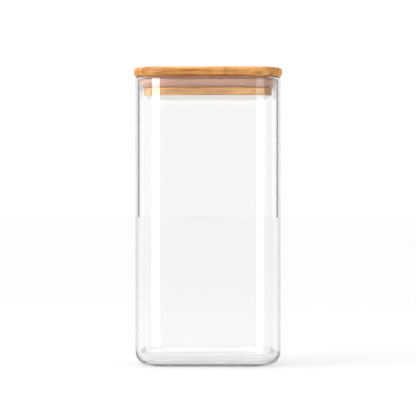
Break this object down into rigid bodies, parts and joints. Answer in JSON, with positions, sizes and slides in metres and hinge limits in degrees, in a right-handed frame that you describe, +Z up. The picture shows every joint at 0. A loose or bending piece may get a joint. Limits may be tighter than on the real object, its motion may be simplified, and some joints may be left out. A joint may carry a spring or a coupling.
{
  "type": "lidded glass canister",
  "caption": "Tall square glass storage canister with rounded corners and a lift-off bamboo lid, whose grooved plug carries a silicone seal that closes the mouth.",
  "frame": {"origin": "centre of the flat underside of the glass, on the surface it stands on", "axes": "+Z up along the canister's axis and the way the lid lifts; +X and +Y square to its flat sides, with -Y the front"},
  "size_m": [0.1, 0.1, 0.2],
  "materials": {
    "glass": "clear, fire-polished borosilicate glass",
    "bamboo_board": "sanded laminated bamboo under clear lacquer, satin",
    "bamboo_plug": "sanded laminated bamboo under clear lacquer, glossy",
    "silicone": "milky, faintly pink translucent silicone, satin"
  },
  "bodies": {
    "canister": {"glass_body": "glass"},
    "lid": {"lid_board": "bamboo_board", "lid_plug": "bamboo_plug", "seal_ring": "silicone"}
  },
  "joints": [
    {"name": "lid_lift", "type": "slide", "parent": "canister", "child": "lid", "axis": [0, 0, 1], "range_m": [0, 0.04]}
  ]
}
